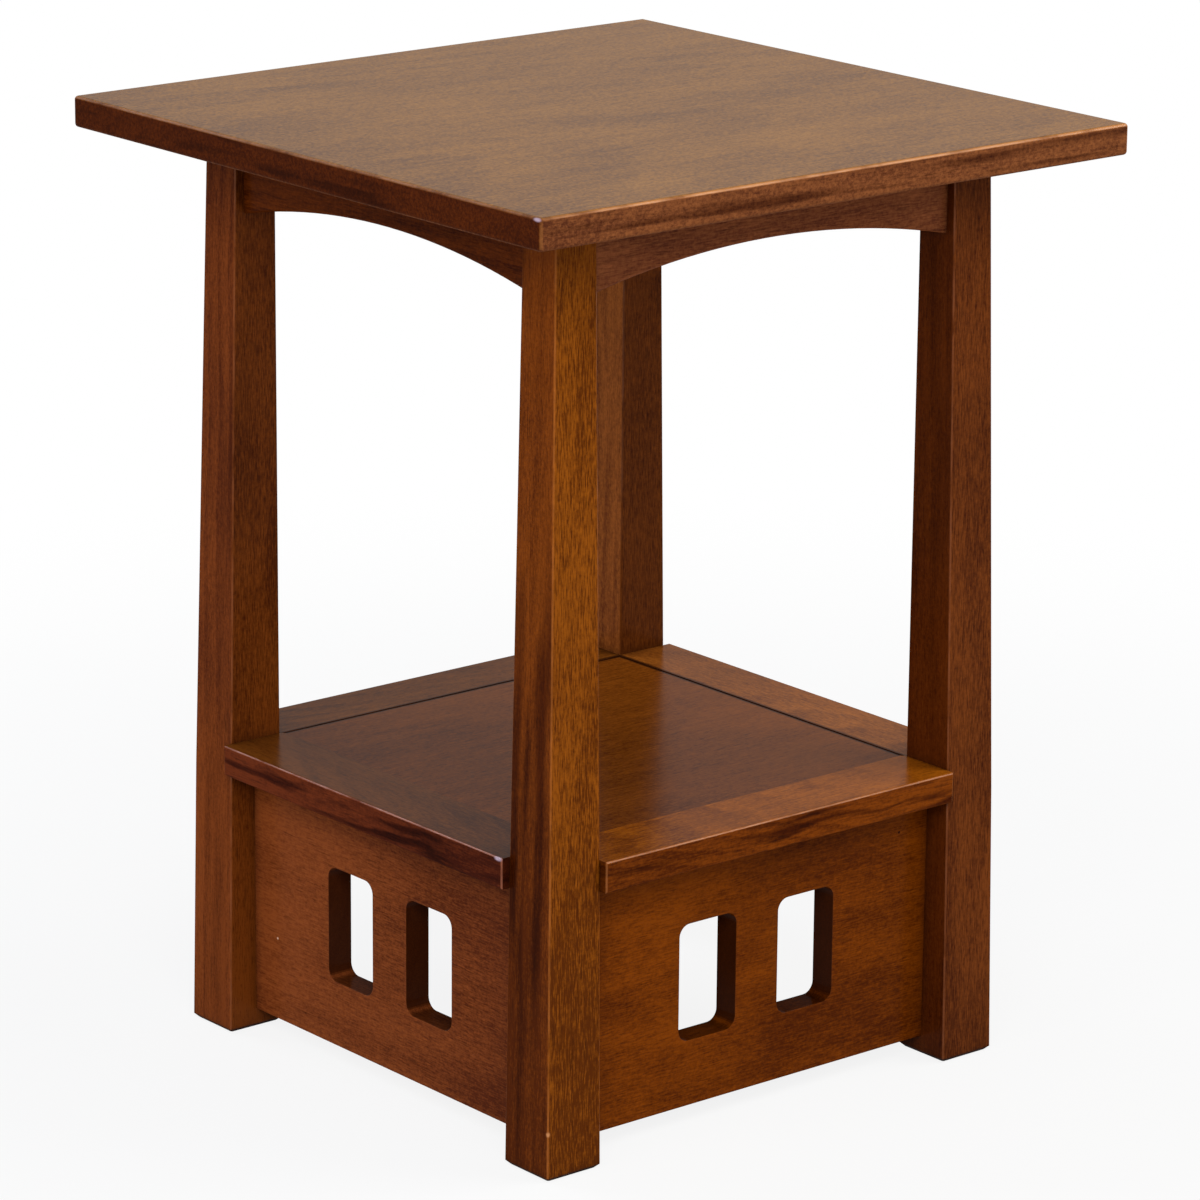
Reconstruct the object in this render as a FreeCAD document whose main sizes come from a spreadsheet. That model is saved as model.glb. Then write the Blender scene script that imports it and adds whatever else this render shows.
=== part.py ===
import FreeCAD, Part
import math
import os
import Sketcher

# End table with a low shelf, in stained hardwood.
#
# Millimetres, +Z up, origin on the floor under the middle of the top.  The front
# looks along -Y.  Every piece of a side is drawn at the front, every piece of a
# corner at the front left, and both are turned about Z to their own places.

SIZES = {
    # overall
    "table_height": 612,
    "top_side": 467,
    "top_thick": 20,
    "top_easing": 2.5,
    "top_overhang": 59.5,
    # legs: straight inner faces, outer faces that lean in above and below the knee
    "leg_foot": 42,
    "leg_knee": 39.5,
    "leg_top": 31,
    "leg_easing": 1.5,
    "foot_bevel": 2.5,
    # arched aprons under the top
    "apron_depth": 49,
    "apron_thick": 19,
    "apron_setback": 6,
    "arch_rise": 16.5,
    "arch_easing": 1,
    "apron_shoulder": 6,
    # shelf: a panel tongued into four border strips
    "shelf_height": 197.5,
    "shelf_thick": 20,
    "shelf_lip": 5.5,
    "border_width": 47.5,
    "open_seam": 2.2,
    "tongue_thick": 6,
    "tongue_long": 6,
    "tongue_stop": 12,
    "shelf_easing": 1.5,
    # skirts under the shelf: window panels in front and at the left, rails elsewhere
    "skirt_thick": 18,
    "skirt_setback": 18.5,
    "panel_lift": 13,
    "rail_depth": 50,
    "skirt_shoulder": 6,
    "window_width": 46.5,
    "window_tall": 77,
    "window_sill": 43,
    "window_post": 34.5,
    "window_radius": 8,
    # mortise and tenon joints
    "tenon_thick": 8,
    "tenon_mitre_gap": 1,
    "joint_play": 0.15,
    # corner blocks behind the aprons
    "block_tall": 30,
    "block_bearing": 24,
    "block_clearance": 3,
    # cleats that carry the shelf on its skirts
    "cleat_wide": 25,
    "cleat_tall": 18,
    "cleat_end_gap": 20,
    # wood screws with a cross recess in a pan head, and their bite in what they hold
    "shank_radius": 2,
    "head_radius": 4,
    "head_tall": 3,
    "point_long": 4,
    "point_gap": 1,
    "cross_reach": 2.4,
    "cross_half_wide": 0.5,
    "cross_deep": 1.5,
    "screw_play": 0.1,
    "top_bite": 12,
    "shelf_bite": 12,
}

# Turns about Z from the drawn place to each side and to each corner.
SIDES = {"front": 0, "right": 90, "back": 180, "left": 270}
CORNERS = {"front_left": 0, "front_right": 90, "back_right": 180, "back_left": 270}
WINDOW_SIDES = ("front", "left")
OPEN_SEAM_SIDES = ("back", "right")


class Size:
    """A length in millimetres with the sheet formula that it comes from."""

    def __init__(self, value, formula):
        self.value = float(value)
        self.formula = formula

    def combined(self, sign, other, value):
        return Size(value, "(%s %s %s)" % (self.formula, sign, as_size(other).formula))

    def __add__(self, other):
        return self.combined("+", other, self.value + as_size(other).value)

    def __sub__(self, other):
        return self.combined("-", other, self.value - as_size(other).value)

    def __mul__(self, other):
        return self.combined("*", other, self.value * as_size(other).value)

    def __truediv__(self, other):
        return self.combined("/", other, self.value / as_size(other).value)

    def __neg__(self):
        return Size(-self.value, "(-%s)" % self.formula)


def as_size(number):
    """Wrap a plain count or factor, so that it can stand in a formula."""
    return number if isinstance(number, Size) else Size(number, repr(number))


def make_sheet(document):
    """Write the driving sizes into a sheet, one alias for each of them."""
    sheet = document.addObject("Spreadsheet::Sheet", "Sizes")
    for row, (name, value) in enumerate(SIZES.items(), start=1):
        sheet.set("A%d" % row, name)
        sheet.set("B%d" % row, str(value))
        sheet.setAlias("B%d" % row, name)
    document.recompute()
    return {name: Size(getattr(sheet, name), "Sizes." + name) for name in SIZES}


document = FreeCAD.newDocument("EndTable")
size = make_sheet(document)
ORIGIN = as_size(0)

# Places that several pieces share, as distances from the middle or above the floor.
top_underside = size["table_height"] - size["top_thick"]
shelf_top = size["shelf_height"]
shelf_underside = shelf_top - size["shelf_thick"]
leg_top_outer = size["top_side"] / 2 - size["top_overhang"]
leg_inner = leg_top_outer - size["leg_top"]
leg_knee_outer = leg_inner + size["leg_knee"]

apron_outer = leg_top_outer - size["apron_setback"]
apron_inner = apron_outer - size["apron_thick"]
apron_bottom = top_underside - size["apron_depth"]
apron_tenon_low = apron_bottom + size["apron_shoulder"]
apron_tenon_high = top_underside - size["apron_shoulder"]

skirt_outer = leg_knee_outer - size["skirt_setback"]
skirt_inner = skirt_outer - size["skirt_thick"]
skirt_tenon_high = shelf_underside - size["skirt_shoulder"]

shelf_outer = leg_knee_outer + size["shelf_lip"]
seam = shelf_outer - size["border_width"]
tongue_low = shelf_underside + (size["shelf_thick"] - size["tongue_thick"]) / 2

# The block clears the leg's inner corner, and its ends bear on the two aprons.
block_near = apron_inner - (apron_inner - leg_inner) * 2 - size["block_clearance"]
block_far = block_near - size["block_bearing"]
block_bottom = top_underside - size["block_tall"]
block_middle = (apron_inner * 2 + block_near + block_far) / 4

cleat_inner = skirt_inner - size["cleat_wide"]
cleat_middle = skirt_inner - size["cleat_wide"] / 2
cleat_bottom = shelf_underside - size["cleat_tall"]
cleat_end = cleat_inner - size["cleat_end_gap"]

hole_radius = size["shank_radius"] + size["screw_play"]


def turned(angle):
    """Placement that turns a piece about the table's upright axis."""
    return FreeCAD.Placement(FreeCAD.Vector(), FreeCAD.Rotation(FreeCAD.Vector(0, 0, 1), angle))


def make_body(name, angle=0):
    """Start a piece of the table."""
    body = document.addObject("PartDesign::Body", name)
    body.Label = name
    body.Placement = turned(angle)
    return body


def origin_feature(body, role):
    """One of the body's own planes or axes."""
    return next(item for item in body.Origin.OriginFeatures if item.Role == role)


def bind(feature, attribute, size_value):
    """Tie one property of a feature to its formula."""
    feature.setExpression(attribute, size_value.formula)


def make_sketch(body, name, plane, offset):
    """Start a sketch on a plane of the body, moved along that plane's normal."""
    sketch = body.newObject("Sketcher::SketchObject", name)
    sketch.AttachmentSupport = (origin_feature(body, plane), [""])
    sketch.MapMode = "FlatFace"
    bind(sketch, "AttachmentOffset.Base.z", offset)
    return sketch


def tie_point(sketch, geometry, point, place):
    """Fix a point of a sketch at its formulas, measured from the sketch's origin."""
    for kind, distance in zip(("DistanceX", "DistanceY"), place):
        if distance.value < 0:
            ends = (geometry, point, -1, 1)
            distance = -distance
        else:
            ends = (-1, 1, geometry, point)
        number = sketch.addConstraint(Sketcher.Constraint(kind, *ends, distance.value))
        sketch.setExpression("Constraints[%d]" % number, distance.formula)


def draw_outline(sketch, corners):
    """Draw a closed outline of straight lines through the given corners."""
    points = [FreeCAD.Vector(x.value, y.value, 0) for x, y in corners]
    lines = []
    for start, end in zip(points, points[1:] + points[:1]):
        lines.append(sketch.addGeometry(Part.LineSegment(start, end)))
    for line, following in zip(lines, lines[1:] + lines[:1]):
        sketch.addConstraint(Sketcher.Constraint("Coincident", line, 2, following, 1))
    for line, corner in zip(lines, corners):
        tie_point(sketch, line, 1, corner)


def draw_rectangle(sketch, left, low, right, high):
    """Draw a rectangle from its four sides."""
    draw_outline(sketch, [(left, low), (right, low), (right, high), (left, high)])


def draw_rounded_square(sketch, low, high, radius):
    """Draw a square with rounded corners whose sides run from low to high both ways."""
    first, last = low + radius, high - radius
    straights = [
        ((first, low), (last, low)),
        ((high, first), (high, last)),
        ((last, high), (first, high)),
        ((low, last), (low, first)),
    ]
    lines = []
    for start, end in straights:
        ends = [FreeCAD.Vector(x.value, y.value, 0) for x, y in (start, end)]
        line = sketch.addGeometry(Part.LineSegment(*ends))
        tie_point(sketch, line, 1, start)
        tie_point(sketch, line, 2, end)
        lines.append(line)
    centres = [(last, first), (last, last), (first, last), (first, first)]
    for quarter, (line, following, centre) in enumerate(zip(lines, lines[1:] + lines[:1], centres)):
        circle = Part.Circle(FreeCAD.Vector(centre[0].value, centre[1].value, 0),
                             FreeCAD.Vector(0, 0, 1), radius.value)
        start = math.radians(90 * quarter - 90)
        arc = sketch.addGeometry(Part.ArcOfCircle(circle, start, start + math.pi / 2))
        sketch.addConstraint(Sketcher.Constraint("Coincident", line, 2, arc, 1))
        sketch.addConstraint(Sketcher.Constraint("Coincident", arc, 2, following, 1))
        number = sketch.addConstraint(Sketcher.Constraint("Radius", arc, radius.value))
        sketch.setExpression("Constraints[%d]" % number, radius.formula)


def draw_arched_board(sketch, half, low, high, rise):
    """Draw a board whose lower side is an arch from end to end."""
    radius = (half * half + rise * rise) / (rise * 2)
    corners = [(-half, low), (-half, high), (half, high), (half, low)]
    points = [FreeCAD.Vector(x.value, y.value, 0) for x, y in corners]
    crown = FreeCAD.Vector(0, low.value + rise.value, 0)
    sides = []
    for start, end in zip(points, points[1:]):
        sides.append(sketch.addGeometry(Part.LineSegment(start, end)))
    arch = sketch.addGeometry(Part.Arc(points[3], crown, points[0]))
    for side, following in zip(sides, sides[1:]):
        sketch.addConstraint(Sketcher.Constraint("Coincident", side, 2, following, 1))
    for side, corner in zip(sides, corners):
        tie_point(sketch, side, 1, corner)
    tie_point(sketch, sides[-1], 2, corners[-1])
    # An arc's own start and end follow its turn, so its left end is its second one.
    sketch.addConstraint(Sketcher.Constraint("Coincident", sides[-1], 2, arch, 1))
    sketch.addConstraint(Sketcher.Constraint("Coincident", arch, 2, sides[0], 1))
    number = sketch.addConstraint(Sketcher.Constraint("Radius", arch, radius.value))
    sketch.setExpression("Constraints[%d]" % number, radius.formula)


def draw_circle(sketch, place, radius):
    """Draw a circle of a given radius round a point."""
    centre = FreeCAD.Vector(place[0].value, place[1].value, 0)
    circle = sketch.addGeometry(Part.Circle(centre, FreeCAD.Vector(0, 0, 1), radius.value))
    tie_point(sketch, circle, 3, place)
    number = sketch.addConstraint(Sketcher.Constraint("Radius", circle, radius.value))
    sketch.setExpression("Constraints[%d]" % number, radius.formula)


def pad(body, sketch, length):
    """Add wood from a sketch along its normal."""
    feature = body.newObject("PartDesign::Pad", sketch.Name + "_pad")
    feature.Profile = sketch
    bind(feature, "Length", length)
    return feature


def cut(body, sketch, length, along_normal=True):
    """Cut wood away on one side of a sketch, and make sure that some went."""
    document.recompute()
    before = body.Shape.Volume
    feature = body.newObject("PartDesign::Pocket", sketch.Name + "_cut")
    feature.Profile = sketch
    feature.Reversed = along_normal
    bind(feature, "Length", length)
    document.recompute()
    if body.Shape.Volume >= before:
        raise RuntimeError("%s takes nothing away" % feature.Name)
    return feature


def drill_up(body, place, low, high):
    """Drill a hole for a screw's shank, upwards from one height to another."""
    circle = make_sketch(body, body.Name + "_hole", "XY_Plane", low)
    draw_circle(circle, place, hole_radius)
    return cut(body, circle, high - low)


def mirror_ends(body, feature):
    """Repeat a feature at the other end of a piece that runs along X."""
    mirrored = body.newObject("PartDesign::Mirrored", feature.Name + "_mirrored")
    mirrored.Originals = [feature]
    mirrored.MirrorPlane = (origin_feature(body, "YZ_Plane"), [""])
    body.Tip = mirrored
    return mirrored


def repeat_features(body, name, features):
    """Repeat features on all four sides or corners of the table."""
    pattern = body.newObject("PartDesign::PolarPattern", name + "_repeated")
    pattern.Originals = features
    pattern.Axis = (origin_feature(body, "Z_Axis"), [""])
    pattern.Angle = 360
    pattern.Occurrences = 4
    body.Tip = pattern
    return pattern


def edges_where(feature, is_wanted):
    """Names of a feature's edges that pass a test of their two end points."""
    document.recompute()
    names = []
    for number, edge in enumerate(feature.Shape.Edges, start=1):
        ends = [vertex.Point for vertex in edge.Vertexes]
        if len(ends) == 2 and is_wanted(ends[0], ends[1]):
            names.append("Edge%d" % number)
    return names


def round_edges(body, feature, names, radius):
    """Ease the named edges to a radius."""
    fillet = body.newObject("PartDesign::Fillet", feature.Name + "_eased")
    fillet.Base = (feature, names)
    bind(fillet, "Radius", radius)
    return fillet


def bevel_edges(body, feature, names, width):
    """Cut a small flat bevel along the named edges."""
    bevel = body.newObject("PartDesign::Chamfer", feature.Name + "_bevelled")
    bevel.Base = (feature, names)
    bind(bevel, "Size", width)
    return bevel


def near(first, second):
    """Whether two lengths are the same but for rounding."""
    return abs(first - second) < 1e-4


# --------------------------------------------------------------------------
# Table top: one glued-up board with eased edges, screwed on from below.

def make_top():
    body = make_body("table_top")
    half = size["top_side"] / 2
    board = make_sketch(body, "top_board", "XY_Plane", top_underside)
    draw_rectangle(board, -half, -half, half, half)
    slab = pad(body, board, size["top_thick"])
    all_round = edges_where(slab, lambda start, end: True)
    round_edges(body, slab, all_round, size["top_easing"])
    pilot = drill_up(body, (-block_middle, -block_middle), top_underside,
                     top_underside + size["top_bite"])
    repeat_features(body, "top_pilots", [pilot])


# --------------------------------------------------------------------------
# Mitred tenons.  The pieces of two neighbouring sides enter a leg at one
# height, so each tenon's end is cut at 45 degrees to clear the other.

def cheeks(outer, thick):
    """Distances of a tenon's inner and outer cheek from the table's middle."""
    middle = outer - thick / 2
    return middle - size["tenon_thick"] / 2, middle + size["tenon_thick"] / 2


def add_tenons(body, outer, thick, low, high):
    """Put a mitred tenon on both ends of a piece that runs along X."""
    inner_cheek, outer_cheek = cheeks(outer, thick)
    plan = make_sketch(body, body.Name + "_tenon", "XY_Plane", low)
    draw_outline(plan, [
        (leg_inner, -outer_cheek),
        (outer_cheek - size["tenon_mitre_gap"], -outer_cheek),
        (inner_cheek - size["tenon_mitre_gap"], -inner_cheek),
        (leg_inner, -inner_cheek),
    ])
    return mirror_ends(body, pad(body, plan, high - low))


# --------------------------------------------------------------------------
# Legs: square in section, lofted from floor to foot, knee and top so that only
# the two outer faces lean, with the mortises cut into the two inner faces.

def mortise(body, name, across, outer, thick, low, high):
    """Cut a mortise into the inner face that looks across X or across Y."""
    inner_cheek, outer_cheek = cheeks(outer, thick)
    play = size["joint_play"]
    deep = -(outer_cheek + play)
    wide = -(inner_cheek - play)
    plan = make_sketch(body, name, "XY_Plane", low - play)
    if across == "x":
        draw_rectangle(plan, deep, deep, -leg_inner, wide)
    else:
        draw_rectangle(plan, deep, deep, wide, -leg_inner)
    return cut(body, plan, high - low + play * 2)


def skirt_low(side):
    """Height of the lower edge of the window panel or rail on a side."""
    if side in WINDOW_SIDES:
        return size["panel_lift"]
    return shelf_underside - size["rail_depth"]


def make_leg(corner, angle):
    body = make_body("leg_" + corner, angle)
    sections = []
    for level, height, width, bevel in (
        ("floor", ORIGIN, size["leg_foot"], size["foot_bevel"]),
        ("foot", size["foot_bevel"], size["leg_foot"], ORIGIN),
        ("knee", shelf_underside, size["leg_knee"], ORIGIN),
        ("top", top_underside, size["leg_top"], ORIGIN),
    ):
        section = make_sketch(body, "%s_%s" % (body.Name, level), "XY_Plane", height)
        outer = -(leg_inner + width - bevel)
        inner = -(leg_inner + bevel)
        draw_rounded_square(section, outer, inner, size["leg_easing"])
        sections.append(section)
    for lower, upper in zip(sections, sections[1:]):
        stretch = body.newObject("PartDesign::AdditiveLoft", upper.Name + "_stretch")
        stretch.Profile = lower
        stretch.Sections = [upper]
        stretch.Ruled = True

    # The leg's first face takes the side at its own turn, the other the side before.
    sides = list(SIDES)
    place = sides.index(next(side for side in sides if SIDES[side] == angle))
    for across, side in (("x", sides[place]), ("y", sides[place - 1])):
        mortise(body, "%s_apron_mortise_%s" % (body.Name, across), across,
                apron_outer, size["apron_thick"], apron_tenon_low, apron_tenon_high)
        mortise(body, "%s_skirt_mortise_%s" % (body.Name, across), across,
                skirt_outer, size["skirt_thick"],
                skirt_low(side) + size["skirt_shoulder"], skirt_tenon_high)


# --------------------------------------------------------------------------
# Aprons: sawn to a shallow arch below, with a small bevel, and tenoned into the
# legs.

def make_apron(side, angle):
    body = make_body("apron_" + side, angle)
    face = make_sketch(body, body.Name + "_face", "XZ_Plane", apron_inner)
    draw_arched_board(face, leg_inner, apron_bottom, top_underside, size["arch_rise"])
    board = pad(body, face, size["apron_thick"])
    low = apron_bottom.value
    arch = edges_where(board, lambda start, end: near(start.z, low) and near(end.z, low)
                       and near(start.y, end.y))
    bevel_edges(body, board, arch, size["arch_easing"])
    add_tenons(body, apron_outer, size["apron_thick"], apron_tenon_low, apron_tenon_high)


# --------------------------------------------------------------------------
# Skirts under the shelf: two tall window panels and two plain rails.

def make_skirt(side, angle):
    has_windows = side in WINDOW_SIDES
    body = make_body(("window_panel_" if has_windows else "shelf_rail_") + side, angle)
    low = skirt_low(side)
    face = make_sketch(body, body.Name + "_face", "XZ_Plane", skirt_inner)
    draw_rectangle(face, -leg_inner, low, leg_inner, shelf_underside)
    pad(body, face, size["skirt_thick"])
    if has_windows:
        cut_windows(body, low)
    add_tenons(body, skirt_outer, size["skirt_thick"], low + size["skirt_shoulder"], skirt_tenon_high)


def cut_windows(body, low):
    """Cut a pair of tall openings with rounded corners, one each side of a post."""
    near_side = size["window_post"] / 2
    far_side = near_side + size["window_width"]
    sill = low + size["window_sill"]
    head = sill + size["window_tall"]
    window = make_sketch(body, body.Name + "_window", "XZ_Plane", skirt_inner)
    draw_rectangle(window, near_side, sill, far_side, head)
    pair = mirror_ends(body, cut(body, window, size["skirt_thick"]))

    def is_window_corner(start, end):
        inside = abs(start.x) < far_side.value + 1 and low.value + 1 < start.z < head.value + 1
        return inside and near(start.x, end.x) and near(start.z, end.z)

    round_edges(body, pair, edges_where(pair, is_window_corner), size["window_radius"])


# --------------------------------------------------------------------------
# Shelf panel: its tongues stop short of the corners, where the legs stand.

def make_shelf_panel():
    body = make_body("shelf_panel")
    board = make_sketch(body, "shelf_board", "XY_Plane", shelf_underside)
    draw_rectangle(board, -seam, -seam, seam, seam)
    pad(body, board, size["shelf_thick"])
    tip = seam + size["tongue_long"]
    stop = seam - size["tongue_stop"]
    for name, wide, deep in (("tongues_left_right", tip, stop), ("tongues_front_back", stop, tip)):
        tongues = make_sketch(body, name, "XY_Plane", tongue_low)
        draw_rectangle(tongues, -wide, -deep, wide, deep)
        pad(body, tongues, size["tongue_thick"])
    pilot = drill_up(body, (ORIGIN, -cleat_middle), shelf_underside,
                     shelf_underside + size["shelf_bite"])
    repeat_features(body, "shelf_pilots", [pilot])


# --------------------------------------------------------------------------
# Shelf borders: strips between the legs, standing a lip's width proud of them
# and mitred behind each leg.  The panel has shrunk away from two of them.

def make_border(side, angle):
    body = make_body("shelf_border_" + side, angle)
    inner = seam
    if side in OPEN_SEAM_SIDES:
        inner = seam + size["open_seam"]
    plan = make_sketch(body, body.Name + "_plan", "XY_Plane", shelf_underside)
    draw_outline(plan, [
        (-leg_inner, -shelf_outer),
        (leg_inner, -shelf_outer),
        (leg_inner, -leg_inner),
        (inner, -inner),
        (-inner, -inner),
        (-leg_inner, -leg_inner),
    ])
    strip = pad(body, plan, size["shelf_thick"])
    outer = -shelf_outer.value
    outside = edges_where(strip, lambda start, end: near(start.y, outer) and near(end.y, outer))
    round_edges(body, strip, outside, size["shelf_easing"])
    play = size["joint_play"]
    groove_end = seam - size["tongue_stop"] + play
    groove = make_sketch(body, body.Name + "_groove", "XY_Plane", tongue_low - play)
    draw_rectangle(groove, -groove_end, -(seam + size["tongue_long"] + play), groove_end, -inner)
    cut(body, groove, size["tongue_thick"] + play * 2)


# --------------------------------------------------------------------------
# Corner blocks: glued across each corner behind the aprons, and drilled for
# the screw that holds the top down.

def make_corner_block(corner, angle):
    body = make_body("corner_block_" + corner, angle)
    plan = make_sketch(body, body.Name + "_plan", "XY_Plane", block_bottom)
    draw_outline(plan, [
        (-apron_inner, -block_near),
        (-apron_inner, -block_far),
        (-block_far, -apron_inner),
        (-block_near, -apron_inner),
    ])
    pad(body, plan, size["block_tall"])
    drill_up(body, (-block_middle, -block_middle), block_bottom, top_underside)


# --------------------------------------------------------------------------
# Shelf cleats: square strips glued inside the panels and rails.  One screw in
# the middle of each holds the shelf and leaves it free to shrink and swell.

def make_cleat(side, angle):
    body = make_body("shelf_cleat_" + side, angle)
    plan = make_sketch(body, body.Name + "_plan", "XY_Plane", cleat_bottom)
    draw_rectangle(plan, -cleat_end, -skirt_inner, cleat_end, -cleat_inner)
    pad(body, plan, size["cleat_tall"])
    drill_up(body, (ORIGIN, -cleat_middle), cleat_bottom, shelf_underside)


# --------------------------------------------------------------------------
# Screws: pan heads with a cross recess, driven upwards, one to a side or corner.

def make_screws(name, across, depth, seat, reach):
    """Turn one screw with its head under the seat, and repeat it round the table."""
    body = make_body(name)
    end = seat - size["head_tall"]
    tip = seat + reach - size["point_gap"]
    blank = make_sketch(body, name + "_blank", "XZ_Plane", depth)
    bind(blank, "AttachmentOffset.Base.x", across)
    draw_outline(blank, [
        (ORIGIN, end),
        (size["head_radius"], end),
        (size["head_radius"], seat),
        (size["shank_radius"], seat),
        (size["shank_radius"], tip - size["point_long"]),
        (ORIGIN, tip),
    ])
    screw = body.newObject("PartDesign::Revolution", name + "_turned")
    screw.Profile = blank
    screw.ReferenceAxis = (blank, ["V_Axis"])
    screw.Angle = 360

    reach, half = size["cross_reach"], size["cross_half_wide"]
    arms = [(half, half), (half, reach), (-half, reach), (-half, half),
            (-reach, half), (-reach, -half), (-half, -half), (-half, -reach),
            (half, -reach), (half, -half), (reach, -half), (reach, half)]
    cross = make_sketch(body, name + "_cross", "XY_Plane", end)
    draw_outline(cross, [(across + x, y - depth) for x, y in arms])
    repeat_features(body, name, [screw, cut(body, cross, size["cross_deep"])])


for corner, angle in CORNERS.items():
    make_leg(corner, angle)
    make_corner_block(corner, angle)
make_top()
make_shelf_panel()
for side, angle in SIDES.items():
    make_apron(side, angle)
    make_skirt(side, angle)
    make_border(side, angle)
    make_cleat(side, angle)
make_screws("top_screws", -block_middle, block_middle, block_bottom,
            size["block_tall"] + size["top_bite"])
make_screws("shelf_screws", ORIGIN, cleat_middle, cleat_bottom,
            size["cleat_tall"] + size["shelf_bite"])
document.recompute()

for item in document.Objects:
    if "Invalid" in item.State or "Error" in item.State:
        raise RuntimeError("%s failed: %s" % (item.Name, item.State))
pieces = [item for item in document.Objects if item.TypeId == "PartDesign::Body"]
for piece in pieces:
    if piece.Shape.isNull() or not piece.Shape.isValid():
        raise RuntimeError("%s has no sound shape" % piece.Label)
os.makedirs("parts", exist_ok=True)
for piece in pieces:
    piece.Shape.exportStep("parts/%s.step" % piece.Label)
    print(piece.Label, len(piece.Shape.Solids), round(piece.Shape.Volume))
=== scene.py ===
import math

import bpy
from mathutils import Matrix, Vector


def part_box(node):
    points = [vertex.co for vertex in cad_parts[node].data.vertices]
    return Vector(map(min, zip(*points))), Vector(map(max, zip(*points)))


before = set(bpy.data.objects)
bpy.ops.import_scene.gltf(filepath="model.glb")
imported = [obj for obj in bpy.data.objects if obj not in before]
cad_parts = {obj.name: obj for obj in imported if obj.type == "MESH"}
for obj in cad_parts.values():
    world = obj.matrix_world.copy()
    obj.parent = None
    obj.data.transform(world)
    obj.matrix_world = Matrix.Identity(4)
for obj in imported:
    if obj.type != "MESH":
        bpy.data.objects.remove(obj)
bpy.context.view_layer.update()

# --------------------------------------------------------------------------
# The room: white walls and a wide pale floor, seen through a long lens a few metres
# off.  Four soft boxes light it: a key in front at the right, one from the eye's side,
# one at the left, and a cool window behind at the left.

EYE_AIM = Vector((0.0, 0.0, 0.281))
EYE_AZIMUTH = math.radians(-39.70)
EYE_ELEVATION = math.radians(16.04)
EYE_ROLL = math.radians(0.498)
EYE_DISTANCE = 3.4543
EYE_RIGHT = 0.0047
EYE_UP = 0.0126
LENS_MM = 162.1
FILM_MM = 36.0
FARTHEST_SIGHT = 50

ROOM_WHITE = (1.0, 1.0, 1.0, 1.0)
ROOM_FILL = (0.90, 0.95, 1.0, 1.0)
ROOM_FILL_STRENGTH = 0.28
FLOOR_WIDE = 16.0
FLOOR_COLOUR = (0.7, 0.7, 0.7, 1.0)
FLOOR_GLOW_NEAR = 0.86
FLOOR_GLOW_FROM = 0.5
FLOOR_GLOW_FULL = 1.4

# Each lamp stands so many degrees round from the front, with the left negative, and up.
LAMPS = {
    "key_light": dict(azimuth=50, elevation=40, distance=3.2, wide=2.0, watts=60,
                      colour=(1.0, 0.97, 0.93)),
    "front_light": dict(azimuth=-40, elevation=30, distance=3.3, wide=1.8, watts=60,
                        colour=(1.0, 0.98, 0.95)),
    "side_light": dict(azimuth=-85, elevation=30, distance=3.3, wide=1.6, watts=20,
                       colour=(0.97, 0.98, 1.0)),
    "window_light": dict(azimuth=-159, elevation=38, distance=3.0, wide=1.4, watts=30,
                         colour=(0.82, 0.88, 1.0)),
}


def sight_line(azimuth, elevation):
    """Unit vector from the table towards an eye or a lamp at these angles."""
    return Vector((math.sin(azimuth) * math.cos(elevation),
                   -math.cos(azimuth) * math.cos(elevation),
                   math.sin(elevation)))


def set_camera():
    """Look back along the sight line, turned a little about it."""
    back = sight_line(EYE_AZIMUTH, EYE_ELEVATION)
    level = (-back).cross(Vector((0, 0, 1))).normalized()
    upright = level.cross(-back)
    place = EYE_AIM + back * EYE_DISTANCE + level * EYE_RIGHT + upright * EYE_UP
    across = level * math.cos(EYE_ROLL) + upright * math.sin(EYE_ROLL)
    above = upright * math.cos(EYE_ROLL) - level * math.sin(EYE_ROLL)
    lens = bpy.data.cameras.new("camera")
    lens.lens = LENS_MM
    lens.sensor_width = FILM_MM
    lens.clip_end = FARTHEST_SIGHT
    camera = bpy.data.objects.new("camera", lens)
    turn = Matrix((across, above, back)).transposed().to_4x4()
    camera.matrix_world = Matrix.Translation(place) @ turn
    bpy.context.scene.collection.objects.link(camera)
    bpy.context.scene.camera = camera


def add_soft_light(name, azimuth, elevation, distance, wide, watts, colour):
    """A square soft box that looks at the middle of the table."""
    lamp = bpy.data.lights.new(name, "AREA")
    lamp.size = wide
    lamp.energy = watts
    lamp.color = colour
    light = bpy.data.objects.new(name, lamp)
    back = sight_line(math.radians(azimuth), math.radians(elevation))
    light.location = EYE_AIM + back * distance
    light.rotation_euler = back.to_track_quat("Z", "Y").to_euler()
    bpy.context.scene.collection.objects.link(light)


def add_node(tree, kind, settings=None, inputs=None):
    """Add a shader node, and set or link its inputs by name or number."""
    node = tree.nodes.new("ShaderNode" + kind)
    for key, value in (settings or {}).items():
        setattr(node, key, value)
    for key, value in (inputs or {}).items():
        if isinstance(value, bpy.types.NodeSocket):
            tree.links.new(value, node.inputs[key])
        else:
            node.inputs[key].default_value = value
    return node


def calculate(tree, operation, first, second=0.0, third=0.0, clamp=False):
    """One step of arithmetic."""
    node = add_node(tree, "Math", {"operation": operation, "use_clamp": clamp},
                    {0: first, 1: second, 2: third})
    return node.outputs[0]


def seen_directly(tree):
    """1 for rays from the eye, from a clear reflection or through glass."""
    path = add_node(tree, "LightPath")
    pair = calculate(tree, "MAXIMUM", path.outputs["Is Camera Ray"], path.outputs["Is Glossy Ray"])
    return calculate(tree, "MAXIMUM", pair, path.outputs["Is Transmission Ray"])


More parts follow.
